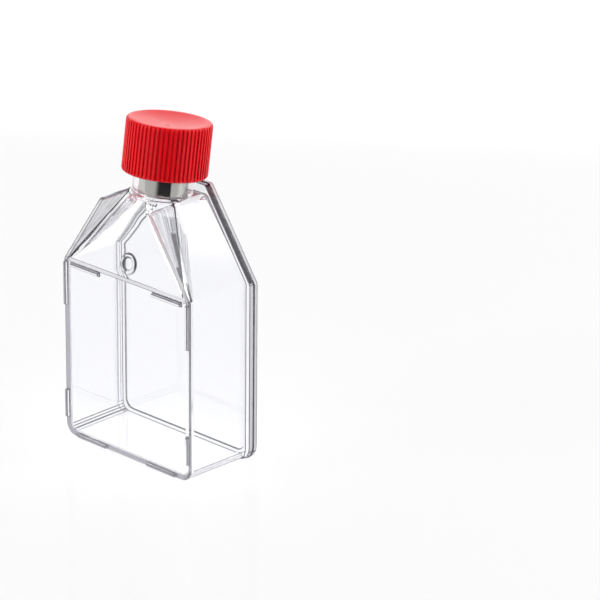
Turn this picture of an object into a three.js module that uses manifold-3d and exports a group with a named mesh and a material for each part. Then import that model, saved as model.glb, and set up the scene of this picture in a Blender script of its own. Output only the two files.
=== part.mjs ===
// A 25 cm2 cell culture flask, standing on its end, in millimetres.
// +Z runs up the flask to the neck, the growth face looks to -Y and the welded cover to +Y.
import * as THREE from 'three';
import { mergeVertices } from 'three/addons/utils/BufferGeometryUtils.js';
import Module from 'manifold-3d';

const wasm = await Module();
wasm.setup();

// Body outline, seen on the growth face
const bodyWidth = 51.5;
const shoulderHeight = 55.1;
const noseHeight = 77.5;
const noseWidth = 20.6;
const cornerRadius = 4;
const shoulderRadius = 1.5;
const edgeChamfer = 0.3;

// Body depth and walls. The draft spreads all but the end wall outwards towards the cover
const bodyDepth = 25;
const wallThickness = 1.3;
const growthThickness = 1.2;
const wallDraft = 0.5;

// Pads that carry the flask when it lies on its growth face
const padHeight = 0.85;
const padWidth = 1.2;
const padDraft = 0.2;
const padCornerGap = 5.6;
const rearPadLength = 8.8;
const shoulderPadLength = 13.5;
const crossPadLength = 11.8;
const crossPadCentre = 16.6;

// Cover plate and the tray's weld flange
const coverWidth = 56;
const coverNoseWidth = 19.8;
const coverNoseHeight = 80.9;
const coverCornerRadius = 4.8;
const coverThickness = 1.6;
const flangeThickness = 1.5;
const flangeStep = 0.3;

// Throat from the growth face up to the neck
const creaseRadius = 0.6;
const cheekSpread = 2.4;
const valleyWidth = 0.7;
const cavityFillet = 1;

// Ring mark on the throat's crown
const ringRadius = 3.1;
const ringWidth = 1.3;
const ringRaise = 0.5;
const ringAboveCrease = 5;

// Neck
const neckRadius = 8.7;
const neckWall = 1.4;
const neckLength = 18.3;
const neckCant = 8.35;
const neckFromCover = 10.4;
const neckFlare = 0.8;
const neckFlareLength = 1.4;
const neckRoot = 3;

// Thread, right-handed, one start
const threadLead = 3;
const threadHeight = 1;
const threadRootWidth = 1.3;
const threadCrestWidth = 0.7;
const neckThreadTurns = 1.75;
const neckThreadTopGap = 2;
const capThreadTurns = 1.25;

// Screw cap and its sealing disc
const capRadius = 12.4;
const capLength = 15.6;
const capTopThickness = 1.7;
const capTopRim = 0.9;
const capBandLength = 0.8;
const capEdgeRadius = 0.9;
const capDishDepth = 0.9;
const capWall = 1.5;
const ribCount = 60;
const ribHeight = 0.45;
const ribShare = 0.62;
const linerThickness = 1;

// Clearances
const seatGap = 0.3;
const threadGap = 0.3;
const weldBite = 0.4;

// Facets
const arcSteps = 5;
const cheekSteps = 8;
const throatSteps = 6;
const dishSteps = 6;
const turnSteps = 48;

// Planes across the depth
const coverFaceY = bodyDepth / 2;
const seamY = coverFaceY - coverThickness;
const frontY = -bodyDepth / 2;
const growthInnerY = frontY + growthThickness;

const cantAngle = THREE.MathUtils.degToRad(neckCant);
const neckBase = new THREE.Vector3(0, coverFaceY - neckFromCover, noseHeight);

// ---- solids ----

function toSolid(geometry) {
  const bare = new THREE.BufferGeometry();
  bare.setAttribute('position', geometry.getAttribute('position'));
  bare.setIndex(geometry.index);
  const merged = mergeVertices(bare, 1e-4);
  const corners = merged.index.array;
  const triangles = [];
  for (let i = 0; i < corners.length; i += 3) {
    const [a, b, c] = corners.slice(i, i + 3);
    if (a !== b && b !== c && c !== a) triangles.push(a, b, c);
  }
  return new wasm.Manifold(new wasm.Mesh({
    numProp: 3,
    vertProperties: new Float32Array(merged.getAttribute('position').array),
    triVerts: new Uint32Array(triangles),
  }));
}

function toGeometry(solid) {
  const mesh = solid.getMesh();
  const geometry = new THREE.BufferGeometry();
  geometry.setAttribute('position', new THREE.BufferAttribute(new Float32Array(mesh.vertProperties), 3));
  geometry.setIndex(new THREE.BufferAttribute(new Uint32Array(mesh.triVerts), 1));
  return geometry;
}

function signedVolume(points, triangles) {
  let sum = 0;
  for (let i = 0; i < triangles.length; i += 3) {
    const [a, b, c] = triangles.slice(i, i + 3).map((k) => points[k]);
    sum += a.dot(b.clone().cross(c));
  }
  return sum / 6;
}

// A closed solid through convex sections that all have the same number of points
function loft(sections) {
  const count = sections[0].length;
  const points = sections.flat();
  const triangles = [];
  for (let s = 0; s + 1 < sections.length; s++) {
    for (let i = 0; i < count; i++) {
      const a = s * count + i;
      const b = s * count + (i + 1) % count;
      triangles.push(a, b, b + count, a, b + count, a + count);
    }
  }
  const last = (sections.length - 1) * count;
  for (let i = 1; i + 1 < count; i++) {
    triangles.push(0, i + 1, i, last, last + i, last + i + 1);
  }
  if (signedVolume(points, triangles) < 0) triangles.reverse();
  const geometry = new THREE.BufferGeometry().setFromPoints(points);
  geometry.setIndex(triangles);
  return toSolid(geometry);
}

// ---- outlines, with x across and y up the flask ----

function mirroredCorners(rightSide) {
  const leftSide = rightSide.map((p) => new THREE.Vector2(-p.x, p.y)).reverse();
  return [...rightSide, ...leftSide];
}

function cornerFrame(corners, i) {
  const count = corners.length;
  const corner = corners[i];
  const toBefore = corners[(i + count - 1) % count].clone().sub(corner).normalize();
  const toAfter = corners[(i + 1) % count].clone().sub(corner).normalize();
  const inward = toBefore.clone().add(toAfter).normalize();
  return { corner, toBefore, toAfter, inward, half: toBefore.angleTo(toAfter) / 2 };
}

function insetCorners(corners, inset) {
  return corners.map((_, i) => {
    const { corner, inward, half } = cornerFrame(corners, i);
    return corner.clone().addScaledVector(inward, inset / Math.sin(half));
  });
}

function roundCorners(corners, radii) {
  const points = [];
  corners.forEach((_, i) => {
    const { corner, toBefore, toAfter, inward, half } = cornerFrame(corners, i);
    const radius = radii[i];
    const centre = corner.clone().addScaledVector(inward, radius / Math.sin(half));
    const reach = radius / Math.tan(half);
    const from = corner.clone().addScaledVector(toBefore, reach).sub(centre);
    const to = corner.clone().addScaledVector(toAfter, reach).sub(centre);
    const turn = Math.atan2(from.cross(to), from.dot(to));
    for (let step = 0; step <= arcSteps; step++) {
      const arm = from.clone().rotateAround(new THREE.Vector2(), turn * step / arcSteps);
      points.push(centre.clone().add(arm));
    }
  });
  return points;
}

const bodyCorners = mirroredCorners([
  new THREE.Vector2(bodyWidth / 2, 0),
  new THREE.Vector2(bodyWidth / 2, shoulderHeight),
  new THREE.Vector2(noseWidth / 2, noseHeight),
]);

const coverCorners = mirroredCorners([
  new THREE.Vector2(coverWidth / 2, 0),
  new THREE.Vector2(coverWidth / 2, shoulderHeight),
  new THREE.Vector2(coverNoseWidth / 2, coverNoseHeight),
]);

const [cavityRear, cavityShoulder, cavityNose] = insetCorners(bodyCorners, wallThickness);
const creaseHeight = cavityShoulder.y;
const boreRadius = neckRadius - neckWall;

function bodyOutline(corners, inset, rearRadius) {
  const rear = rearRadius - inset;
  const upper = shoulderRadius;
  return roundCorners(insetCorners(corners, inset), [rear, upper, upper, upper, upper, rear]);
}

// The end wall carries the standing flask, so it stays flat while the others spread
function spreadCorners(corners, spread) {
  return insetCorners(corners, -spread).map((p, i) => new THREE.Vector2(p.x, i === 0 || i === 5 ? 0 : p.y));
}

// A solid between outlines that stand at planes across the depth
function slab(...layers) {
  return loft(layers.map(({ outline, y }) => outline.map((p) => new THREE.Vector3(p.x, y, p.y))));
}

// ---- flask tray: growth face, walls, throat and neck in one moulding ----

function outerWalls() {
  return slab(
    { outline: bodyOutline(bodyCorners, edgeChamfer, cornerRadius), y: frontY },
    { outline: bodyOutline(bodyCorners, 0, cornerRadius), y: frontY + edgeChamfer },
    { outline: bodyOutline(spreadCorners(bodyCorners, wallDraft), 0, cornerRadius), y: seamY },
  );
}

function weldFlange() {
  const outline = bodyOutline(coverCorners, flangeStep, coverCornerRadius);
  return slab({ outline, y: seamY }, { outline, y: seamY - flangeThickness });
}

// Half the width between the shoulder skirts' inner faces
function skirtHalfWidth(z) {
  const share = (z - cavityShoulder.y) / (cavityNose.y - cavityShoulder.y);
  return THREE.MathUtils.lerp(cavityShoulder.x, cavityNose.x, share);
}

// The skirts' inner faces bound an open pocket in front of the throat
function skirtPocket() {
  const slope = cavityNose.clone().sub(cavityShoulder).normalize();
  const beyond = cavityNose.clone().addScaledVector(slope, 2 * wallThickness);
  const corners = mirroredCorners([cavityShoulder, beyond]);
  const section = (y) => corners.map((p) => new THREE.Vector3(p.x, y, p.y));
  return loft([section(frontY - 1), section(neckBase.y)]);
}

// Across the flask the throat is an arch: straight sides, round cheeks and a flat crown between them.
// It leans with the neck as it nears it
function archSection({ halfWidth, footWidth, crownY, cheekWidth, cheekDepth, footY, z, lean }) {
  const flat = [new THREE.Vector2(-footWidth, footY), new THREE.Vector2(footWidth, footY)];
  for (const side of [1, -1]) {
    for (let step = 0; step <= cheekSteps; step++) {
      const share = side > 0 ? step / cheekSteps : 1 - step / cheekSteps;
      const angle = share * Math.PI / 2;
      flat.push(new THREE.Vector2(
        side * (halfWidth - cheekWidth * (1 - Math.cos(angle))),
        crownY + cheekDepth * (1 - Math.sin(angle)),
      ));
    }
  }
  return leaned(flat, z, lean);
}

function leaned(points, z, lean) {
  const slope = Math.tan(lean);
  return points.map((p) => new THREE.Vector3(p.x, p.y, z - slope * (p.y - neckBase.y)));
}

// The arches narrow from the crease, where they span the body, to the round of the neck
function throatArches({ fromWidth, toWidth, fromCrown, fromCheek, fromZ, radius, toZ, footSpread, footY }) {
  const arches = [];
  for (let step = 0; step <= throatSteps; step++) {
    const share = step / throatSteps;
    const lerp = THREE.MathUtils.lerp;
    const halfWidth = lerp(fromWidth, toWidth, share);
    const cheek = lerp(fromCheek, radius, share);
    arches.push({
      halfWidth,
      footWidth: halfWidth + footSpread,
      crownY: lerp(fromCrown, neckBase.y - radius, share),
      cheekWidth: cheek + cheekSpread * Math.sin(share * Math.PI),
      cheekDepth: cheek,
      footY,
      z: lerp(fromZ, toZ, share),
      lean: cantAngle * share,
    });
  }
  return arches;
}

const outerArches = throatArches({
  fromWidth: cavityShoulder.x + weldBite,
  toWidth: skirtHalfWidth(neckBase.z) + weldBite,
  fromCrown: frontY,
  fromCheek: creaseRadius,
  fromZ: creaseHeight,
  radius: neckRadius,
  toZ: neckBase.z,
  footSpread: 0,
  footY: seamY,
});

// A narrow floor fills the valley between each round cheek and its skirt
function valleyFloor(side) {
  return loft(outerArches.map(({ halfWidth, crownY, cheekWidth, cheekDepth, z, lean }) => {
    const run = Math.min(weldBite + valleyWidth, cheekWidth);
    const angle = Math.acos(1 - run / cheekWidth);
    const floorY = crownY + cheekDepth * (1 - Math.sin(angle));
    const corners = [
      new THREE.Vector2(side * (halfWidth - run), floorY),
      new THREE.Vector2(side * halfWidth, floorY),
      new THREE.Vector2(side * halfWidth, crownY + cheekDepth + weldBite),
      new THREE.Vector2(side * (halfWidth - run), crownY + cheekDepth + weldBite),
    ];
    return leaned(corners, z, lean);
  }));
}

function throatOuter() {
  return loft(outerArches.map(archSection)).add(valleyFloor(1)).add(valleyFloor(-1));
}

// The cavity is one loft from the end wall to the neck. Its rear corners and the edges of the growth
// face are round, as the mould's core is
function cavity() {
  const rear = cornerRadius - wallThickness;
  const sections = [];
  for (let step = 0; step <= arcSteps; step++) {
    const angle = step / arcSteps * Math.PI / 2;
    const rise = rear * (1 - Math.cos(angle));
    const short = Math.max(0, cavityFillet - rise);
    const halfWidth = cavityRear.x - rear * (1 - Math.sin(angle));
    sections.push({
      halfWidth,
      footWidth: halfWidth + wallDraft,
      crownY: growthInnerY + cavityFillet - Math.sqrt(cavityFillet ** 2 - short ** 2),
      cheekWidth: cavityFillet,
      cheekDepth: cavityFillet,
      footY: coverFaceY,
      z: cavityRear.y + rise,
      lean: 0,
    });
  }
  const throatInner = throatArches({
    fromWidth: cavityShoulder.x,
    toWidth: boreRadius,
    fromCrown: growthInnerY,
    fromCheek: cavityFillet,
    fromZ: creaseHeight,
    radius: boreRadius,
    toZ: neckBase.z - wallThickness,
    footSpread: wallDraft,
    footY: coverFaceY,
  });
  return loft([...sections, ...throatInner].map(archSection));
}

// Turned solids stand on the neck's axis: its base is at the nose and it leans towards the cover
function alongNeck(solid) {
  const frame = new THREE.Matrix4().makeRotationX(-cantAngle).setPosition(neckBase);
  return solid.transform(frame.toArray());
}

function turned(profile) {
  const points = profile.map(([radius, height]) => new THREE.Vector2(radius, height));
  const geometry = new THREE.LatheGeometry(points, turnSteps);
  geometry.rotateX(Math.PI / 2);
  return toSolid(geometry);
}

function cylinder(radius, from, to) {
  return turned([[0, from], [radius, from], [radius, to], [0, to]]);
}

// A helical ridge with a trapezoid section, thinning to nothing at both ends
function threadRidge({ radius, height, outward, turns, fromHeight }) {
  const steps = Math.round(turns * turnSteps);
  const taperSteps = turnSteps / 8;
  const foot = outward ? -weldBite : weldBite;
  const sections = [];
  for (let step = 0; step <= steps; step++) {
    const angle = 2 * Math.PI * step / turnSteps;
    const fade = Math.min(1, (Math.min(step, steps - step) + 0.5) / taperSteps);
    const crest = (outward ? height : -height) * fade;
    const centre = fromHeight + threadLead * step / turnSteps;
    const at = (offset, rise) => new THREE.Vector3(
      (radius + offset) * Math.cos(angle),
      (radius + offset) * Math.sin(angle),
      centre + rise,
    );
    sections.push([
      at(foot, -threadRootWidth / 2),
      at(0, -threadRootWidth / 2),
      at(crest, -threadCrestWidth / 2),
      at(crest, threadCrestWidth / 2),
      at(0, threadRootWidth / 2),
      at(foot, threadRootWidth / 2),
    ]);
  }
  return loft(sections);
}

const neckThreadStart = neckLength - neckThreadTopGap - neckThreadTurns * threadLead;

function neck() {
  const lip = neckWall / 3;
  const tube = turned([
    [0, -neckRoot],
    [neckRadius, -neckRoot],
    [neckRadius, neckLength - lip],
    [neckRadius - lip, neckLength],
    [0, neckLength],
  ]);
  const thread = threadRidge({
    radius: neckRadius,
    height: threadHeight,
    outward: true,
    turns: neckThreadTurns,
    fromHeight: neckThreadStart,
  });
  return alongNeck(tube.add(thread));
}

// A short flare eases the neck into the nose. It stops at the cover plate
function neckRing() {
  const flare = turned([
    [0, -neckFlareLength],
    [neckRadius, -neckFlareLength],
    [neckRadius + neckFlare, 0],
    [neckRadius + neckFlare / 3, neckFlareLength / 3],
    [neckRadius, neckFlareLength],
    [0, neckFlareLength],
  ]);
  return alongNeck(flare).subtract(coverSlab(0));
}

function neckBore() {
  return alongNeck(cylinder(boreRadius, -neckRoot, neckLength + 1));
}

// A pad is a low block with sloping sides on the growth face's edge
function pad({ x, z, width, height }) {
  const block = (inset, y) => {
    const w = width / 2 - inset;
    const h = height / 2 - inset;
    return [[-w, -h], [w, -h], [w, h], [-w, h]].map(([dx, dz]) => new THREE.Vector3(x + dx, y, z + dz));
  };
  return loft([block(0, frontY + weldBite), block(0, frontY), block(padDraft, frontY - padHeight)]);
}

function pads() {
  const inEdge = edgeChamfer + padWidth / 2;
  const found = [];
  for (const side of [1, -1]) {
    const edgeX = side * (bodyWidth / 2 - inEdge);
    const rearX = side * (bodyWidth / 2 - padCornerGap - crossPadLength / 2);
    found.push(
      pad({ x: edgeX, z: padCornerGap + rearPadLength / 2, width: padWidth, height: rearPadLength }),
      pad({
        x: edgeX,
        z: shoulderHeight - shoulderRadius / 2 - shoulderPadLength / 2,
        width: padWidth,
        height: shoulderPadLength,
      }),
      pad({ x: rearX, z: inEdge, width: crossPadLength, height: padWidth }),
      pad({ x: side * crossPadCentre, z: creaseHeight - inEdge, width: crossPadLength, height: padWidth }),
    );
  }
  return found;
}

// The ring lies on the throat's crown, above the crease
function ringMark() {
  const crownRun = neckBase.z + neckRadius * Math.tan(cantAngle) - creaseHeight;
  const crownFall = neckBase.y - neckRadius - frontY;
  const slope = crownFall / crownRun;
  const inner = ringRadius - ringWidth;
  const ring = turned([
    [inner, -weldBite],
    [ringRadius, -weldBite],
    [ringRadius, ringRaise / 2],
    [ringRadius - ringRaise / 2, ringRaise],
    [inner + ringRaise / 2, ringRaise],
    [inner, ringRaise / 2],
    [inner, -weldBite],
  ]);
  const frame = new THREE.Matrix4().makeRotationX(Math.PI / 2 - Math.atan(slope));
  frame.setPosition(0, frontY + slope * ringAboveCrease, creaseHeight + ringAboveCrease);
  return ring.transform(frame.toArray());
}

function flaskTray() {
  let tray = outerWalls().subtract(skirtPocket()).add(weldFlange());
  tray = tray.add(throatOuter()).add(neck()).add(neckRing());
  tray = tray.subtract(cavity()).subtract(neckBore());
  for (const solid of [...pads(), ringMark()]) tray = tray.add(solid);
  return tray;
}

// ---- cover plate, welded to the flange ----

function coverSlab(chamfer) {
  return slab(
    { outline: bodyOutline(coverCorners, 0, coverCornerRadius), y: seamY },
    { outline: bodyOutline(coverCorners, 0, coverCornerRadius), y: coverFaceY - chamfer },
    { outline: bodyOutline(coverCorners, chamfer, coverCornerRadius), y: coverFaceY },
  );
}

function coverPlate() {
  const clearNeck = alongNeck(cylinder(neckRadius + seatGap, -neckRoot, neckLength));
  return coverSlab(edgeChamfer).subtract(clearNeck);
}

// ---- screw cap and sealing disc, on the neck's axis ----

const linerBottom = neckLength + seatGap;
const capInnerTop = linerBottom + linerThickness + seatGap;
const capTop = capInnerTop + capTopThickness;
const capBottom = capTop - capLength;
const capRootRadius = capRadius - ribHeight;
const capInnerRadius = capRootRadius - capWall;

// The turned form that trims the ribs: round edges, and a shallow dish in the top
function capEnvelope() {
  const profile = [[0, capBottom], [capRadius - capEdgeRadius, capBottom]];
  for (let step = 1; step <= arcSteps; step++) {
    const angle = step / arcSteps * Math.PI / 2;
    const reach = capEdgeRadius * (1 - Math.sin(angle));
    const rise = capEdgeRadius * (1 - Math.cos(angle));
    profile.push([capRadius - reach, capBottom + rise]);
  }
  for (let step = 0; step <= arcSteps; step++) {
    const angle = step / arcSteps * Math.PI / 2;
    const reach = capEdgeRadius * (1 - Math.cos(angle));
    const rise = capEdgeRadius * (1 - Math.sin(angle));
    profile.push([capRadius - reach, capTop - rise]);
  }
  const dishRadius = capRadius - capEdgeRadius - capTopRim;
  for (let step = 0; step <= dishSteps; step++) {
    const share = 1 - step / dishSteps;
    profile.push([dishRadius * share, capTop - capDishDepth * (1 - share * share)]);
  }
  return turned(profile);
}

// Grip ribs, one toothed ring as tall as the cap
function gripRibs() {
  const tooth = 2 * Math.PI / ribCount;
  const crestHalf = tooth * (1 - ribShare) / 2;
  const rootHalf = tooth * ribShare / 2;
  const polar = (radius, angle) => new THREE.Vector2(radius * Math.cos(angle), radius * Math.sin(angle));
  const points = [];
  for (let i = 0; i < ribCount; i++) {
    points.push(
      polar(capRootRadius, i * tooth - rootHalf),
      polar(capRadius, i * tooth - crestHalf),
      polar(capRadius, i * tooth + crestHalf),
      polar(capRootRadius, i * tooth + rootHalf),
    );
  }
  const options = { depth: capLength, bevelEnabled: false };
  const ring = new THREE.ExtrudeGeometry(new THREE.Shape(points), options);
  ring.translate(0, 0, capBottom);
  return toSolid(ring);
}

function screwCap() {
  const band = cylinder(capRadius - ribHeight / 2, capBottom, capBottom + capBandLength);
  const hollow = cylinder(capInnerRadius, capBottom - 1, capInnerTop);
  const ridgeWidth = (threadRootWidth + threadCrestWidth) / 2;
  const thread = threadRidge({
    radius: capInnerRadius,
    height: capInnerRadius - neckRadius - seatGap,
    outward: false,
    turns: capThreadTurns,
    fromHeight: neckThreadStart - ridgeWidth - threadGap,
  });
  const body = capEnvelope().intersect(gripRibs().add(band));
  return alongNeck(body.subtract(hollow).add(thread));
}

function capLiner() {
  const edge = linerThickness / 4;
  const radius = capInnerRadius - seatGap;
  return alongNeck(turned([
    [0, linerBottom],
    [radius - edge, linerBottom],
    [radius, linerBottom + edge],
    [radius, linerBottom + linerThickness],
    [0, linerBottom + linerThickness],
  ]));
}

// ---- assembly ----

const clearPolystyrene = { color: 0xe9edf2, roughness: 0.05, metalness: 0, transparent: true, opacity: 0.4 };
const redPlastic = { color: 0xd80f16, roughness: 0.38, metalness: 0 };
const whiteFoam = { color: 0xf1efe9, roughness: 0.7, metalness: 0 };

function piece(name, solid, finish) {
  const mesh = new THREE.Mesh(toGeometry(solid), new THREE.MeshStandardMaterial(finish));
  mesh.name = name;
  return mesh;
}

const flask = new THREE.Group();
flask.add(
  piece('flask_tray', flaskTray(), clearPolystyrene),
  piece('cover_plate', coverPlate(), clearPolystyrene),
  piece('cap_liner', capLiner(), whiteFoam),
  piece('screw_cap', screwCap(), redPlastic),
);

export default flask;
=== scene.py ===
import math
import bmesh
import bpy
from mathutils import Matrix, Vector


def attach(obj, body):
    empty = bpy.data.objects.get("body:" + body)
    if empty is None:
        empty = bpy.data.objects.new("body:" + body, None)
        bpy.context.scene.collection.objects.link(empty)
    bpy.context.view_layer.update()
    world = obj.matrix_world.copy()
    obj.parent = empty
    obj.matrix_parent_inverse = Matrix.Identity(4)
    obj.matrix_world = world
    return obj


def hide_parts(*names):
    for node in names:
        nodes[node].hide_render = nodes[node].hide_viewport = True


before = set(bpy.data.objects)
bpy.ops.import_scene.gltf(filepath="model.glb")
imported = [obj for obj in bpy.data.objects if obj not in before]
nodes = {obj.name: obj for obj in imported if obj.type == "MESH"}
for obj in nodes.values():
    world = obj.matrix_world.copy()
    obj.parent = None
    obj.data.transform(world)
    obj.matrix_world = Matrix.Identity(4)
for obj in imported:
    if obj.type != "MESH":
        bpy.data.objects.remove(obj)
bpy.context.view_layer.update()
scene = bpy.context.scene
print("frame loaded")


# Sizes are in metres. Bump is its strength and its depth
finishes = {
    "clearPolystyrene": {
        "shader": {"Base Color": (0.965, 0.967, 0.98, 1.0), "IOR": 1.59, "Transmission Weight": 0.985},
        "surface": {"Grain Scale": 400.0, "Wave Scale": 45.0, "Grain Share": 0.05,
                    "Low Roughness": 0.0, "High Roughness": 0.012},
        "bump": (0.02, 0.0002), "shadowTint": (0.95, 0.95, 0.96, 1.0)},
    "brightBore": {
        "shader": {"Base Color": (0.48, 0.475, 0.445, 1.0), "Metallic": 1.0},
        "surface": {"Grain Scale": 700.0, "Wave Scale": 80.0, "Grain Share": 0.2,
                    "Low Roughness": 0.04, "High Roughness": 0.1},
        "bump": (0.04, 0.0001)},
    # A hazy pale finish: painted light on the rims and bands of the clear body, where they catch light
    "paintedPaleEdge": {
        "shader": {"Base Color": (0.78, 0.78, 0.81, 1.0), "IOR": 1.59, "Transmission Weight": 0.35},
        "surface": {"Grain Scale": 900.0, "Wave Scale": 90.0, "Grain Share": 0.3,
                    "Low Roughness": 0.06, "High Roughness": 0.14},
        "bump": (0.05, 0.0001), "shadowTint": (0.9, 0.9, 0.91, 1.0)},
    # A near-black finish: painted dark lines on rounded edges, creases and valleys, standing in for the
    # shade that the clear plastic refracts there
    "paintedDarkEdge": {
        "shader": {"Base Color": (0.022, 0.022, 0.026, 1.0), "IOR": 1.59, "Transmission Weight": 0.9},
        "surface": {"Grain Scale": 900.0, "Wave Scale": 90.0, "Grain Share": 0.3,
                    "Low Roughness": 0.04, "High Roughness": 0.1},
        "bump": (0.05, 0.0001), "shadowTint": (0.8, 0.8, 0.82, 1.0)},
    # Its base colour is the painted streaks of light and shade over the skirts and cheeks
    "paintedStreakPolystyrene": {
        "shader": {"IOR": 1.59, "Transmission Weight": 0.97},
        "surface": {"Grain Scale": 400.0, "Wave Scale": 45.0, "Grain Share": 0.05,
                    "Low Roughness": 0.0, "High Roughness": 0.012},
        "bump": (0.02, 0.0002), "shadowTint": (0.9, 0.9, 0.91, 1.0)},
    "redPolyethylene": {
        "shader": {"Base Color": (0.85, 0.003, 0.01, 1.0), "IOR": 1.5, "Specular IOR Level": 0.28,
                   "Subsurface Weight": 0.4, "Subsurface Radius": (1.0, 0.1, 0.08),
                   "Subsurface Scale": 0.0015},
        "surface": {"Grain Scale": 2400.0, "Wave Scale": 160.0, "Grain Share": 0.98,
                    "Low Roughness": 0.25, "High Roughness": 0.36},
        "bump": (0.08, 0.0001)},
    "foamLiner": {
        "shader": {"Base Color": (0.86, 0.85, 0.81, 1.0)},
        "surface": {"Grain Scale": 3000.0, "Wave Scale": 200.0, "Grain Share": 0.9,
                    "Low Roughness": 0.6, "High Roughness": 0.75},
        "bump": (0.3, 0.0001)},
}
surfaceDefaults = {"Grain Scale": 900.0, "Wave Scale": 60.0, "Grain Share": 0.5,
                   "Low Roughness": 0.3, "High Roughness": 0.4}
surfaceDetail = {"grain": 3.0, "wave": 1.0}


def addNode(tree, kind, inputs=None, **settings):
    node = tree.nodes.new(kind)
    for name, value in settings.items():
        setattr(node, name, value)
    for label, value in (inputs or {}).items():
        node.inputs[label].default_value = value
    return node


def maths(tree, operation, first, second):
    node = addNode(tree, "ShaderNodeMath", operation=operation)
    for index, value in enumerate((first, second)):
        if isinstance(value, (int, float)):
            node.inputs[index].default_value = value
        else:
            tree.links.new(value, node.inputs[index])
    return node.outputs[0]


# Fine grain over a slow wave, which also varies the roughness
def makeSurfaceGroup():
    group = bpy.data.node_groups.new("mouldedSurface", "ShaderNodeTree")
    for label, value in surfaceDefaults.items():
        socket = group.interface.new_socket(name=label, in_out="INPUT", socket_type="NodeSocketFloat")
        socket.default_value = value
    for label in ("Height", "Roughness"):
        group.interface.new_socket(name=label, in_out="OUTPUT", socket_type="NodeSocketFloat")
    nodesIn = addNode(group, "NodeGroupInput")
    nodesOut = addNode(group, "NodeGroupOutput")
    place = addNode(group, "ShaderNodeTexCoord")
    grain = addNode(group, "ShaderNodeTexNoise", {"Detail": surfaceDetail["grain"]})
    wave = addNode(group, "ShaderNodeTexNoise", {"Detail": surfaceDetail["wave"]})
    mix = addNode(group, "ShaderNodeMix")
    spread = addNode(group, "ShaderNodeMapRange", clamp=False)
    link = group.links.new
    link(place.outputs["Object"], grain.inputs["Vector"])
    link(place.outputs["Object"], wave.inputs["Vector"])
    link(nodesIn.outputs["Grain Scale"], grain.inputs["Scale"])
    link(nodesIn.outputs["Wave Scale"], wave.inputs["Scale"])
    link(nodesIn.outputs["Grain Share"], mix.inputs["Factor"])
    link(wave.outputs["Fac"], mix.inputs["A"])
    link(grain.outputs["Fac"], mix.inputs["B"])
    link(mix.outputs["Result"], nodesOut.inputs["Height"])
    link(wave.outputs["Fac"], spread.inputs["Value"])
    link(nodesIn.outputs["Low Roughness"], spread.inputs["To Min"])
    link(nodesIn.outputs["High Roughness"], spread.inputs["To Max"])
    link(spread.outputs["Result"], nodesOut.inputs["Roughness"])
    return group


surfaceGroup = makeSurfaceGroup()


def addSurface(tree, shader, values, bump):
    surface = addNode(tree, "ShaderNodeGroup", node_tree=surfaceGroup)
    for label, value in values.items():
        surface.inputs[label].default_value = value
    relief = addNode(tree, "ShaderNodeBump", {"Strength": bump[0], "Distance": bump[1]})
    tree.links.new(surface.outputs["Height"], relief.inputs["Height"])
    tree.links.new(relief.outputs["Normal"], shader.inputs["Normal"])
    tree.links.new(surface.outputs["Roughness"], shader.inputs["Roughness"])


# Painted streaks of light and shade fan out over the skirts and cheeks from the crease's ends, standing in
# for the lines that these clear folds refract
paintedStreakSizes = {
    "front": 0.0125, "crease": 0.0547, "least": 0.001, "scale": 15.0, "detail": 2.0,
    "pale": (0.93, 0.93, 0.95, 1), "grey": (0.5, 0.5, 0.54, 1), "dark": (0.04, 0.04, 0.05, 1),
    "stops": ((0.3, "grey"), (0.36, "pale"), (0.4, "pale"), (0.42, "dark"), (0.45, "pale"),
              (0.48, "pale"), (0.5, "grey"), (0.52, "dark"), (0.55, "grey"), (0.58, "pale"),
              (0.63, "pale"), (0.655, "dark"), (0.68, "pale")),
}


def addPaintedStreaks(tree, shader):
    place = addNode(tree, "ShaderNodeTexCoord")
    split = addNode(tree, "ShaderNodeSeparateXYZ")
    tree.links.new(place.outputs["Object"], split.inputs[0])
    back = maths(tree, "ADD", split.outputs["Y"], paintedStreakSizes["front"])
    height = maths(tree, "SUBTRACT", split.outputs["Z"], paintedStreakSizes["crease"])
    fan = maths(tree, "DIVIDE", back, maths(tree, "MAXIMUM", height, paintedStreakSizes["least"]))
    uneven = addNode(tree, "ShaderNodeTexNoise",
                     {"Scale": paintedStreakSizes["scale"], "Detail": paintedStreakSizes["detail"]}, noise_dimensions="1D")
    tree.links.new(fan, uneven.inputs["W"])
    tone = addNode(tree, "ShaderNodeValToRGB")
    ramp = tone.color_ramp
    while len(ramp.elements) < len(paintedStreakSizes["stops"]):
        ramp.elements.new(0.5)
    for element, (level, colour) in zip(ramp.elements, paintedStreakSizes["stops"]):
        element.position = level
        element.color = paintedStreakSizes[colour]
    tree.links.new(uneven.outputs["Fac"], tone.inputs["Fac"])
    tree.links.new(tone.outputs["Color"], shader.inputs["Base Color"])


# Colours of a painted glow: grey for light trapped in the walls, pink for the red cap's painted reflection
paintedGlowSizes = {"bounces": 3.5, "grey": (0.4, 0.39, 0.44, 1.0), "pink": (0.6, 0.1, 0.16, 1.0),
             "pinkFrom": 0.0665, "pinkTo": 0.0725}
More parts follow.
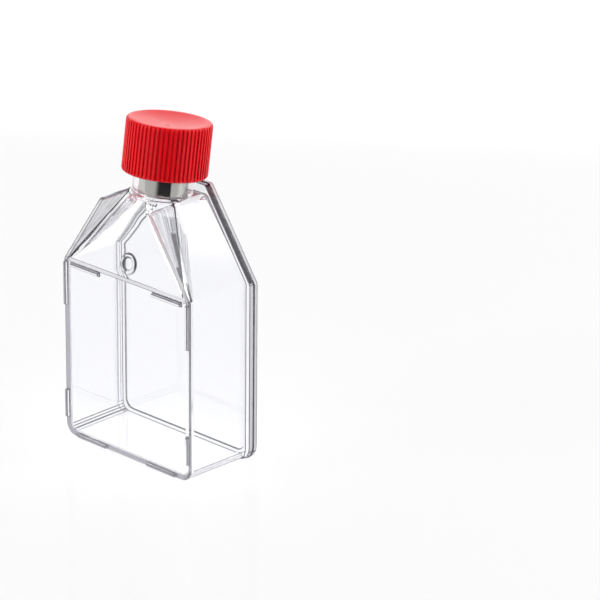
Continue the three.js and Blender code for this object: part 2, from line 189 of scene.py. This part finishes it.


# Lamps shine through the clear walls. Rays trapped in them end in a painted grey glow, and near the cap in a
# painted pink reflection of the red cap
def passLampLightAndPaintGlow(tree, shader, tint):
    link = tree.links.new
    path = addNode(tree, "ShaderNodeLightPath")
    place = addNode(tree, "ShaderNodeTexCoord")
    split = addNode(tree, "ShaderNodeSeparateXYZ")
    nearCap = addNode(tree, "ShaderNodeMapRange",
                      {"From Min": paintedGlowSizes["pinkFrom"], "From Max": paintedGlowSizes["pinkTo"]})
    hue = addNode(tree, "ShaderNodeMix", {"A": paintedGlowSizes["grey"], "B": paintedGlowSizes["pink"]}, data_type="RGBA")
    glow = addNode(tree, "ShaderNodeEmission")
    through = addNode(tree, "ShaderNodeBsdfTransparent", {"Color": tint})
    trapped = addNode(tree, "ShaderNodeMixShader")
    mix = addNode(tree, "ShaderNodeMixShader")
    link(place.outputs["Object"], split.inputs[0])
    link(split.outputs["Z"], nearCap.inputs["Value"])
    link(nearCap.outputs["Result"], hue.inputs["Factor"])
    link(hue.outputs["Result"], glow.inputs["Color"])
    deep = maths(tree, "GREATER_THAN", path.outputs["Glossy Depth"], paintedGlowSizes["bounces"])
    link(deep, trapped.inputs["Fac"])
    link(shader.outputs["BSDF"], trapped.inputs[1])
    link(glow.outputs["Emission"], trapped.inputs[2])
    link(path.outputs["Is Shadow Ray"], mix.inputs["Fac"])
    link(trapped.outputs["Shader"], mix.inputs[1])
    link(through.outputs["BSDF"], mix.inputs[2])
    link(mix.outputs["Shader"], tree.nodes["Material Output"].inputs["Surface"])


def newMaterial(name, values):
    material = bpy.data.materials.new(name)
    material.use_nodes = True
    tree = material.node_tree
    shader = tree.nodes["Principled BSDF"]
    for label, value in values.items():
        shader.inputs[label].default_value = value
    return material, tree, shader


def makeFinish(name):
    finish = finishes[name]
    material, tree, shader = newMaterial(name, finish["shader"])
    addSurface(tree, shader, finish["surface"], finish["bump"])
    if name == "paintedStreakPolystyrene":
        addPaintedStreaks(tree, shader)
    if "shadowTint" in finish:
        passLampLightAndPaintGlow(tree, shader, finish["shadowTint"])
    return material


def openMesh(piece):
    work = bmesh.new()
    work.from_mesh(piece.data)
    return work


def closeMesh(work, piece):
    work.to_mesh(piece.data)
    work.free()


def joinClose(piece, merge, thin):
    work = openMesh(piece)
    bmesh.ops.remove_doubles(work, verts=work.verts, dist=merge)
    bmesh.ops.dissolve_degenerate(work, edges=work.edges, dist=thin)
    closeMesh(work, piece)


def mergedCopy(nodeName, pieceName, merge):
    mesh = nodes[nodeName].data.copy()
    mesh.materials.clear()
    piece = bpy.data.objects.new(pieceName, mesh)
    scene.collection.objects.link(piece)
    joinClose(piece, merge, merge)
    return piece


def dissolveFlats(piece, degrees):
    work = openMesh(piece)
    bmesh.ops.dissolve_limit(work, angle_limit=math.radians(degrees), verts=work.verts,
                             edges=work.edges, delimit={"NORMAL"})
    closeMesh(work, piece)


def applyModifiers(piece):
    graph = bpy.context.evaluated_depsgraph_get()
    mesh = bpy.data.meshes.new_from_object(piece.evaluated_get(graph), depsgraph=graph)
    piece.modifiers.clear()
    old = piece.data
    piece.data = mesh
    bpy.data.meshes.remove(old)


def welded(piece, other):
    modifier = piece.modifiers.new("weld", "BOOLEAN")
    modifier.operation = "UNION"
    modifier.solver = "EXACT"
    modifier.object = other
    applyModifiers(piece)
    bpy.data.objects.remove(other)


# Angles here are in radians. A rounded edge takes this share of the room beside it
bevelRoom = {"most": 1.0, "leastAngle": 0.05, "flatAngle": 2.6, "sharedEdge": 0.45, "plainEdge": 0.9}


def roomForBevel(edge, bevelled):
    room = bevelRoom["most"]
    for loop in edge.link_loops:
        before, after = loop.link_loop_prev, loop.link_loop_next
        for corner, other in ((loop, before.edge), (after, after.edge)):
            angle = max(corner.calc_angle(), bevelRoom["leastAngle"])
            shared = other in bevelled
            if not corner.is_convex or (not shared and angle > bevelRoom["flatAngle"]):
                continue
            if shared:
                room = min(room, bevelRoom["sharedEdge"] * edge.calc_length() * math.tan(angle / 2))
            else:
                room = min(room, bevelRoom["plainEdge"] * other.calc_length() * math.sin(angle))
    return room


# Every sharp edge gets its own small rounding, less where there is no room for it
def softEdges(piece, sizes, radiusOf, bandMaterial):
    work = openMesh(piece)
    weights = work.edges.layers.float.new("bevel_weight_edge")
    sharp = math.radians(sizes["sharpDegrees"])
    radii = {edge: radiusOf(edge) for edge in work.edges
             if len(edge.link_faces) == 2 and abs(edge.calc_face_angle()) > sharp}
    largest = max(radii.values())
    for edge, radius in radii.items():
        edge[weights] = min(radius, roomForBevel(edge, radii)) / largest
    closeMesh(work, piece)
    bevel = piece.modifiers.new("edges", "BEVEL")
    bevel.width = largest
    bevel.segments = sizes["edgeSegments"]
    bevel.limit_method = "WEIGHT"
    bevel.use_clamp_overlap = False
    bevel.miter_outer = "MITER_ARC"
    bevel.material = bandMaterial
    for face in piece.data.polygons:
        face.use_smooth = True
    weighted = piece.modifiers.new("normals", "WEIGHTED_NORMAL")
    weighted.mode = "FACE_AREA"
    weighted.weight = sizes["flatWeight"]
    weighted.keep_sharp = True
    applyModifiers(piece)


def faceCount(piece):
    piece.data.calc_loop_triangles()
    return len(piece.data.loop_triangles)


# The neck leans towards the cover. Its line serves the body and the cap
neckBase = Vector((0.0, 0.0021, 0.0775))
neckAxis = Vector((0.0, 0.145214, 0.9894)).normalized()


def neckParts(point):
    offset = point - neckBase
    along = offset.dot(neckAxis)
    return along, offset - neckAxis * along


def cutAcross(work, faces, point, normal, near):
    edges = {edge for face in faces for edge in face.edges}
    corners = {corner for face in faces for corner in face.verts}
    bmesh.ops.bisect_plane(work, geom=faces + list(edges) + list(corners), dist=near,
                           plane_co=point, plane_no=normal)


# x is the distance from the middle, y runs from the growth face back to the cover and z is the
# height. Facing and turn are parts of a face's normal
bodySizes = {
    "copyMerge": 0.000002, "merge": 0.000004, "thin": 0.0000008, "flatDegrees": 0.3,
    "edge": 0.00016, "coverEdge": 0.00022, "edgeSegments": 3, "sharpDegrees": 18, "flatWeight": 60,
    "coverFrom": 0.0109, "nearCover": 0.00001,
    "creaseFrom": 0.0547, "creaseTo": 0.0556, "neckFrom": 0.0745,
    "lip": {
        "halfWidth": 0.0249, "foot": 0.0013, "noseHalfWidth": 0.0077, "nose": 0.0749,
        "footRadius": 0.0028, "topRadius": 0.001, "width": 0.0012, "bite": 0.0003,
        "from": 0.0105, "to": 0.0112, "cornerSteps": 8},
    "bore": {
        "reach": 0.0079, "liningFrom": -0.004, "liningTo": 0.02, "facing": -0.9,
        "from": -0.0001, "to": 0.006, "turnFrom": -18.0, "turnTo": 104.0, "near": 0.0000001},
    "flange": {
        "from": 0.0095, "to": 0.0123, "halfWidth": 0.0272, "low": 0.0005, "shoulder": 0.0546,
        "nose": 0.0809, "noseHalfWidth": 0.0092, "middle": 0.045, "sidewaysTurn": 0.1, "slopingTurn": 0.2},
    "crease": {
        "line": 0.00014, "front": -0.0119, "cutFront": -0.002, "facing": -0.5, "near": 0.000001},
    "folds": {
        "front": -0.0123, "frontTurn": 0.9, "skirtTurn": 0.5, "skirtFront": -0.003,
        "cheekTurn": 0.35, "cheekFacing": -0.15, "halfWidth": 0.0245, "narrowing": 0.69,
        "valleyFacing": -0.5, "valleyInside": 0.001, "valleyOutside": 0.0003},
    "ring": {
        "height": 0.0598, "inner": 0.0015, "outer": 0.0036, "front": -0.007,
        "facing": Vector((0.0, -0.93, 0.37)), "sideTurn": 0.6},
    "plainEdges": {
        "skirtFront": -0.0119, "sideFrom": 0.054, "sideHalfWidth": 0.0235, "sideFront": -0.0105,
        "sideBack": 0.0088, "footHeight": 0.0006, "footFront": -0.0115, "neckBelow": -0.0025,
        "neckAbove": 0.0032, "neckReach": 0.0099, "lipFront": 0.0101, "lipBack": 0.0113,
        "lipFrom": 0.006, "lipSlope": 1.174, "lipSpare": 0.0008},
}
bodyFinishes = ("clearPolystyrene", "brightBore", "paintedPaleEdge", "paintedDarkEdge", "paintedStreakPolystyrene")
clearFace, boreFace, paintedPaleFace, paintedDarkFace, paintedStreakFace = range(len(bodyFinishes))


# The lip locates the cover in the body. Its corners are rounded
def lipOutline(inset):
    lip = bodySizes["lip"]
    crease = bodySizes["creaseFrom"]
    half = lip["halfWidth"] - inset
    foot = lip["foot"] + inset
    slope = (lip["nose"] - crease) / (lip["halfWidth"] - lip["noseHalfWidth"])
    shoulder = crease - inset * math.tan((math.pi / 2 - math.atan(slope)) / 2)
    nose = lip["nose"] - inset
    noseHalf = half - (nose - shoulder) / slope
    corners = ((half, foot, lip["footRadius"]), (half, shoulder, lip["topRadius"]),
               (noseHalf, nose, lip["topRadius"]))
    corners = corners + tuple((-x, z, radius) for x, z, radius in reversed(corners))
    points = []
    for index, (x, z, radius) in enumerate(corners):
        here = Vector((x, z))
        before = (Vector(corners[index - 1][:2]) - here).normalized()
        after = (Vector(corners[(index + 1) % len(corners)][:2]) - here).normalized()
        opening = before.angle(after)
        run = radius / math.tan(opening / 2)
        middle = here + (before + after).normalized() * radius / math.sin(opening / 2)
        start = here + before * run - middle
        turn = start.angle_signed(here + after * run - middle)
        for step in range(lip["cornerSteps"] + 1):
            spoke = start.copy()
            spoke.rotate(Matrix.Rotation(-turn * step / lip["cornerSteps"], 2))
            points.append(middle + spoke)
    return points


def lipRing():
    lip = bodySizes["lip"]
    outer = lipOutline(-lip["bite"])
    inner = lipOutline(lip["width"])
    count = len(outer)
    corners = []
    for y in (lip["from"], lip["to"]):
        for outline in (outer, inner):
            corners += [(point.x, y, point.y) for point in outline]
    faces = []
    for index in range(count):
        after = (index + 1) % count
        faces.append((index, after, count + after, count + index))
        faces.append((2 * count + index, 3 * count + index, 3 * count + after, 2 * count + after))
        faces.append((index, 2 * count + index, 2 * count + after, after))
        faces.append((count + index, count + after, 3 * count + after, 3 * count + index))
    mesh = bpy.data.meshes.new("coverLip")
    mesh.from_pydata(corners, [], faces)
    ring = bpy.data.objects.new("coverLip", mesh)
    work = openMesh(ring)
    bmesh.ops.recalc_face_normals(work, faces=work.faces)
    closeMesh(work, ring)
    scene.collection.objects.link(ring)
    return ring


def liningFaces(work):
    bore = bodySizes["bore"]
    lining = []
    for face in work.faces:
        along, spoke = neckParts(face.calc_center_median())
        inside = bore["liningFrom"] < along < bore["liningTo"] and spoke.length < bore["reach"]
        if inside and face.normal.dot(spoke) < bore["facing"] * spoke.length:
            lining.append(face)
    return lining


# The bare stretch of the neck mirrors the room from inside
def markBore(piece):
    bore = bodySizes["bore"]
    work = openMesh(piece)
    for level in (bore["from"], bore["to"]):
        cutAcross(work, liningFaces(work), neckBase + neckAxis * level, neckAxis, bore["near"])
    count = 0
    for face in liningFaces(work):
        along, spoke = neckParts(face.calc_center_median())
        turn = math.degrees(math.atan2(spoke.x, -spoke.y))
        if bore["turnFrom"] < turn < bore["turnTo"] and bore["from"] < along < bore["to"]:
            face.material_index = boreFace
            count += 1
    closeMesh(work, piece)
    print("bore faces", count)


def onFlangeRim(point):
    flange = bodySizes["flange"]
    if point.z < flange["shoulder"]:
        return abs(point.x) > flange["halfWidth"] or point.z < flange["low"]
    slope = (flange["halfWidth"] - flange["noseHalfWidth"]) / (flange["nose"] - flange["shoulder"])
    return abs(point.x) > flange["halfWidth"] - slope * (point.z - flange["shoulder"])


# The flange's rim gets painted pale light, apart from a painted dark line below the cover on its slopes
def markFlange(piece):
    flange = bodySizes["flange"]
    for face in piece.data.polygons:
        middle = face.center
        sideways = abs(face.normal.y) < flange["sidewaysTurn"]
        outward = middle.x * face.normal.x + (middle.z - flange["middle"]) * face.normal.z > 0.0
        level = flange["from"] < middle.y < flange["to"]
        if sideways and outward and level and face.material_index == clearFace and onFlangeRim(middle):
            sloping = face.normal.z > flange["slopingTurn"] and middle.z > flange["shoulder"]
            face.material_index = paintedDarkFace if sloping and middle.y < bodySizes["coverFrom"] else paintedPaleFace


# A painted pale band between two painted dark lines runs along the crease, standing in for the light and
# shade that the crease refracts
def cutCrease(piece):
    crease = bodySizes["crease"]
    work = openMesh(piece)
    low, high = bodySizes["creaseFrom"], bodySizes["creaseTo"]
    levels = [low - crease["line"], low, high, high + crease["line"]]
    for level in levels:
        outer = [face for face in work.faces
                 if face.normal.y < crease["facing"] and face.calc_center_median().y < crease["cutFront"]]
        cutAcross(work, outer, (0, 0, level), (0, 0, 1), crease["near"])
    for face in work.faces:
        middle = face.calc_center_median()
        inFront = face.normal.y < crease["facing"] and middle.y < crease["front"]
        if inFront and levels[0] < middle.z < levels[3]:
            face.material_index = paintedPaleFace if levels[1] < middle.z < levels[2] else paintedDarkFace
    closeMesh(work, piece)


# Skirts and cheeks get painted streaks of light and shade, valleys and the ring's sides painted dark lines,
# the rims painted pale light
def markFolds(piece):
    folds, ring = bodySizes["folds"], bodySizes["ring"]
    for face in piece.data.polygons:
        middle, normal = face.center, face.normal
        if not bodySizes["creaseTo"] < middle.z < bodySizes["neckFrom"] or face.material_index:
            continue
        edgeAt = folds["halfWidth"] - (middle.z - bodySizes["creaseFrom"]) * folds["narrowing"]
        inward = normal.x * middle.x < 0 and abs(normal.x) > folds["skirtTurn"]
        onSkirt = inward and middle.y < folds["skirtFront"]
        outward = normal.x * middle.x > 0 and folds["cheekTurn"] < abs(normal.x)
        onCheek = outward and normal.y < folds["cheekFacing"] and abs(middle.x) < edgeAt
        atEdge = edgeAt - folds["valleyInside"] < abs(middle.x) < edgeAt + folds["valleyOutside"]
        inValley = atEdge and normal.y < folds["valleyFacing"] and middle.y > folds["front"]
        fromRing = math.hypot(middle.x, middle.z - ring["height"])
        onRing = ring["inner"] < fromRing < ring["outer"] and middle.y < ring["front"]
        ringSide = onRing and abs(normal.dot(ring["facing"])) < ring["sideTurn"]
        if middle.y < folds["front"] and abs(normal.y) > folds["frontTurn"]:
            face.material_index = paintedPaleFace
        elif inValley or ringSide:
            face.material_index = paintedDarkFace
        elif onSkirt or onCheek:
            face.material_index = paintedStreakFace


def bodyEdgeRadius(edge):
    outside = all(corner.co.y > bodySizes["coverFrom"] - bodySizes["nearCover"] for corner in edge.verts)
    if outside and edge.calc_face_angle_signed() > 0:
        return bodySizes["coverEdge"]
    return bodySizes["edge"]


# Some rounded edges catch the light, so they lose their painted dark line: some take the painted pale light,
# the rest stay clear
def clearSomeEdges(piece):
    plain = bodySizes["plainEdges"]
    crease, foldsFrom = bodySizes["creaseFrom"], bodySizes["creaseTo"]
    for face in piece.data.polygons:
        if face.material_index != paintedDarkFace:
            continue
        x, y, z = face.center
        along, spoke = neckParts(face.center)
        skirtFront = x > 0 and z > foldsFrom and y < plain["skirtFront"]
        footFront = z < plain["footHeight"] and y < plain["footFront"]
        atSide = plain["sideFrom"] < z < foldsFrom and abs(x) > plain["sideHalfWidth"]
        sideFold = atSide and plain["sideFront"] < y < plain["sideBack"]
        neckFoot = plain["neckBelow"] < along < plain["neckAbove"] and spoke.length < plain["neckReach"]
        lipTo = bodySizes["lip"]["halfWidth"] - (z - crease) / plain["lipSlope"] + plain["lipSpare"]
        atLip = plain["lipFront"] < y < plain["lipBack"] and foldsFrom < z < bodySizes["neckFrom"]
        if skirtFront or footFront:
            face.material_index = paintedPaleFace
        elif sideFold or neckFoot or (atLip and plain["lipFrom"] < x < lipTo):
            face.material_index = clearFace


def buildBody():
    body = mergedCopy("flask_tray", "flaskBody", bodySizes["copyMerge"])
    cover = mergedCopy("cover_plate", "coverCopy", bodySizes["copyMerge"])
    welded(body, cover)
    welded(body, lipRing())
    joinClose(body, bodySizes["merge"], bodySizes["thin"])
    dissolveFlats(body, bodySizes["flatDegrees"])
    for name in bodyFinishes:
        body.data.materials.append(makeFinish(name))
    markBore(body)
    markFlange(body)
    cutCrease(body)
    markFolds(body)
    # The body's rounded edges take the painted dark lines
    softEdges(body, bodySizes, bodyEdgeRadius, paintedDarkFace)
    clearSomeEdges(body)
    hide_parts("flask_tray", "cover_plate")
    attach(body, "flask")
    print("body", faceCount(body), "triangles")


capSizes = {"copyMerge": 0.000002, "flatDegrees": 0.1, "edge": 0.00009, "edgeSegments": 2,
            "sharpDegrees": 24, "flatWeight": 60, "topFrom": 0.0195, "topFacing": 0.95,
            "rimRadius": 0.0113, "dishRadius": 0.0106, "dishDepth": 0.0009, "dishRound": 0.0002,
            "roundDrop": 0.04, "dishRings": 14}


def boundaryLoop(work):
    first = [edge for edge in work.edges if edge.is_boundary][0]
    loop = [first.verts[0], first.verts[1]]
    while True:
        step = [edge for edge in loop[-1].link_edges if edge.is_boundary and loop[-2] not in edge.verts][0]
        corner = step.other_vert(loop[-1])
        if corner == loop[0]:
            return loop
        loop.append(corner)


# The dish keeps its depth and gets finer rings, from the rim down to the middle
def remakeDish(piece):
    work = openMesh(piece)
    inside = []
    for face in work.faces:
        along, spoke = neckParts(face.calc_center_median())
        onTop = along > capSizes["topFrom"] and face.normal.dot(neckAxis) > capSizes["topFacing"]
        if onTop and spoke.length < capSizes["rimRadius"]:
            inside.append(face)
    bmesh.ops.delete(work, geom=inside, context="FACES")
    loop = boundaryLoop(work)
    along, spoke = neckParts(loop[0].co)
    middle = neckBase + neckAxis * along
    rimRadius = spoke.length
    soft = capSizes["dishRound"]
    rings = [(capSizes["dishRadius"] + soft, 0.0), (capSizes["dishRadius"], soft * capSizes["roundDrop"])]
    for index in range(1, capSizes["dishRings"]):
        share = 1.0 - index / capSizes["dishRings"]
        rings.append((capSizes["dishRadius"] * share, capSizes["dishDepth"] * (1.0 - share * share)))
    spokes = [neckParts(corner.co)[1] for corner in loop]
    outer = loop
    for radius, drop in rings:
        inner = [work.verts.new(middle + spoke * (radius / rimRadius) - neckAxis * drop) for spoke in spokes]
        for index in range(len(loop)):
            after = (index + 1) % len(loop)
            work.faces.new((outer[index], outer[after], inner[after], inner[index]))
        outer = inner
    bottom = work.verts.new(middle - neckAxis * capSizes["dishDepth"])
    for index in range(len(loop)):
        work.faces.new((outer[index], outer[(index + 1) % len(loop)], bottom))
    bmesh.ops.recalc_face_normals(work, faces=work.faces)
    print("dish faces replaced", len(inside), "loop", len(loop), "rim radius", round(rimRadius, 5))
    closeMesh(work, piece)


def buildCap():
    cap = mergedCopy("screw_cap", "ribbedCap", capSizes["copyMerge"])
    dissolveFlats(cap, capSizes["flatDegrees"])
    remakeDish(cap)
    softEdges(cap, capSizes, lambda edge: capSizes["edge"], -1)
    cap.data.materials.append(makeFinish("redPolyethylene"))
    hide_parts("screw_cap")
    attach(cap, "cap")
    print("cap", faceCount(cap), "triangles")


def finishLiner():
    liner = nodes["cap_liner"]
    liner.data.materials.clear()
    liner.data.materials.append(makeFinish("foamLiner"))
    print("liner finished")


cameraSizes = {"place": (0.6807, -0.6605, 0.4216), "azimuth": 43.4, "down": 21.62, "roll": 0.59,
               "sensor": 36.0, "lens": 213.7, "clipEnd": 20.0}
viewAzimuth = math.radians(cameraSizes["azimuth"])
forward = Vector((-math.sin(viewAzimuth), math.cos(viewAzimuth), 0.0))
rightward = Vector((math.cos(viewAzimuth), math.sin(viewAzimuth), 0.0))
upward = Vector((0.0, 0.0, 1.0))

floorSizes = {"near": 0.115, "far": 6.0, "halfWidth": 6.0, "height": -0.0001, "lift": 0.63}
floorFinish = {"Base Color": (0.32, 0.32, 0.325, 1.0), "Roughness": 0.08, "IOR": 1.18,
               "Emission Color": (1.0, 1.0, 1.0, 1.0)}


# The floor keeps the flask's shadow. Its own white is seen, and lights nothing
def stageFloor():
    mesh = bpy.data.meshes.new("floor")
    near = -forward * floorSizes["near"]
    far = forward * floorSizes["far"]
    side = rightward * floorSizes["halfWidth"]
    mesh.from_pydata([near - side, near + side, far + side, far - side], [], [(0, 1, 2, 3)])
    floor = bpy.data.objects.new("floor", mesh)
    floor.location.z = floorSizes["height"]
    scene.collection.objects.link(floor)
    material, tree, shader = newMaterial("whiteFloor", floorFinish)
    path = addNode(tree, "ShaderNodeLightPath")
    seen = maths(tree, "MAXIMUM", path.outputs["Is Camera Ray"], path.outputs["Is Glossy Ray"])
    seenAll = maths(tree, "MAXIMUM", seen, path.outputs["Is Transmission Ray"])
    lift = maths(tree, "MULTIPLY", seenAll, floorSizes["lift"])
    tree.links.new(lift, shader.inputs["Emission Strength"])
    mesh.materials.append(material)


# Each lamp stands to the right of, beyond and above the flask's middle by these distances
lampHeight = 0.05
lampSizes = {
    "topBox": {"right": 0.0, "beyond": 0.25, "up": 1.1, "width": 1.0, "height": 1.0, "power": 0.06},
    "leftBox": {"right": -0.9, "beyond": -0.3, "up": 0.55, "width": 0.5, "height": 0.6, "power": 7.2},
    "rightBox": {"right": 0.95, "beyond": -0.25, "up": 0.55, "width": 0.4, "height": 0.6, "power": 8.2},
    "frontBox": {"right": -0.3, "beyond": -0.95, "up": 0.7, "width": 0.6, "height": 0.6, "power": 0.3},
    "backBox": {"right": 0.1, "beyond": 1.2, "up": 0.2, "width": 0.9, "height": 0.12, "power": 0.5},
}


def stageLights():
    middle = upward * lampHeight
    for name, lamp in lampSizes.items():
        data = bpy.data.lights.new(name, "AREA")
        data.shape = "RECTANGLE"
        data.size = lamp["width"]
        data.size_y = lamp["height"]
        data.energy = lamp["power"]
        offset = rightward * lamp["right"] + forward * lamp["beyond"] + upward * lamp["up"]
        light = bpy.data.objects.new(name, data)
        light.location = middle + offset
        light.rotation_euler = (-offset).to_track_quat("-Z", "Y").to_euler()
        scene.collection.objects.link(light)


# Each mask runs from its first level to its second along a direction. The dark wedge lies
# between two turns, measured from the camera towards the right
worldSizes = {"darkLeft": -27.0, "darkRight": 33.0, "darkShare": 0.985,
              "leftEdge": (-0.2, 0.22), "rightEdge": (-0.03, 0.04),
              "ahead": (-0.25, 0.4), "aheadLevels": (0.8, 1.0),
              "above": (0.4, 0.8), "aboveLevels": (1.0, 0.04), "mirrored": 0.5, "strength": 1.0}


def directionMask(tree, place, axis, edges, levels=(0.0, 1.0)):
    dot = addNode(tree, "ShaderNodeVectorMath", {1: axis}, operation="DOT_PRODUCT")
    values = {"From Min": edges[0], "From Max": edges[1], "To Min": levels[0], "To Max": levels[1]}
    spread = addNode(tree, "ShaderNodeMapRange", values, interpolation_type="SMOOTHSTEP")
    tree.links.new(place.outputs["Generated"], dot.inputs[0])
    tree.links.new(dot.outputs["Value"], spread.inputs["Value"])
    return spread.outputs["Result"]


def turned(degrees):
    turn = math.radians(degrees)
    return rightward * math.sin(turn) - forward * math.cos(turn)


# Only reflections and lighting see the studio's dark parts. The rest sees white
def stageWorld():
    world = bpy.data.worlds.new("studio")
    scene.world = world
    world.use_nodes = True
    tree = world.node_tree
    background = tree.nodes["Background"]
    place = addNode(tree, "ShaderNodeTexCoord")
    ahead = directionMask(tree, place, forward, worldSizes["ahead"], worldSizes["aheadLevels"])
    pastLeft = directionMask(tree, place, turned(worldSizes["darkLeft"] + 90.0), worldSizes["leftEdge"])
    beforeRight = directionMask(tree, place, turned(worldSizes["darkRight"] - 90.0), worldSizes["rightEdge"])
    above = directionMask(tree, place, upward, worldSizes["above"], worldSizes["aboveLevels"])
    dark = maths(tree, "MULTIPLY", pastLeft, beforeRight)
    lit = maths(tree, "SUBTRACT", 1.0, maths(tree, "MULTIPLY", dark, worldSizes["darkShare"]))
    whole = maths(tree, "MULTIPLY", maths(tree, "MULTIPLY", ahead, lit), above)
    path = addNode(tree, "ShaderNodeLightPath")
    mirrored = maths(tree, "GREATER_THAN", path.outputs["Glossy Depth"], worldSizes["mirrored"])
    lighting = maths(tree, "MAXIMUM", mirrored, path.outputs["Is Diffuse Ray"])
    shade = maths(tree, "MULTIPLY", maths(tree, "SUBTRACT", 1.0, whole), lighting)
    tree.links.new(maths(tree, "SUBTRACT", 1.0, shade), background.inputs["Color"])
    background.inputs["Strength"].default_value = worldSizes["strength"]


def stageCamera():
    data = bpy.data.cameras.new("camera")
    data.sensor_width = cameraSizes["sensor"]
    data.lens = cameraSizes["lens"]
    data.clip_end = cameraSizes["clipEnd"]
    camera = bpy.data.objects.new("camera", data)
    turn = Matrix.Rotation(viewAzimuth, 4, "Z")
    tilt = Matrix.Rotation(math.radians(90.0 - cameraSizes["down"]), 4, "X")
    roll = Matrix.Rotation(math.radians(cameraSizes["roll"]), 4, "Z")
    camera.matrix_world = Matrix.Translation(cameraSizes["place"]) @ turn @ tilt @ roll
    scene.collection.objects.link(camera)
    scene.camera = camera


buildBody()
buildCap()
finishLiner()
stageFloor()
stageLights()
stageWorld()
stageCamera()
scene.view_settings.view_transform = "Standard"

print("stage set")
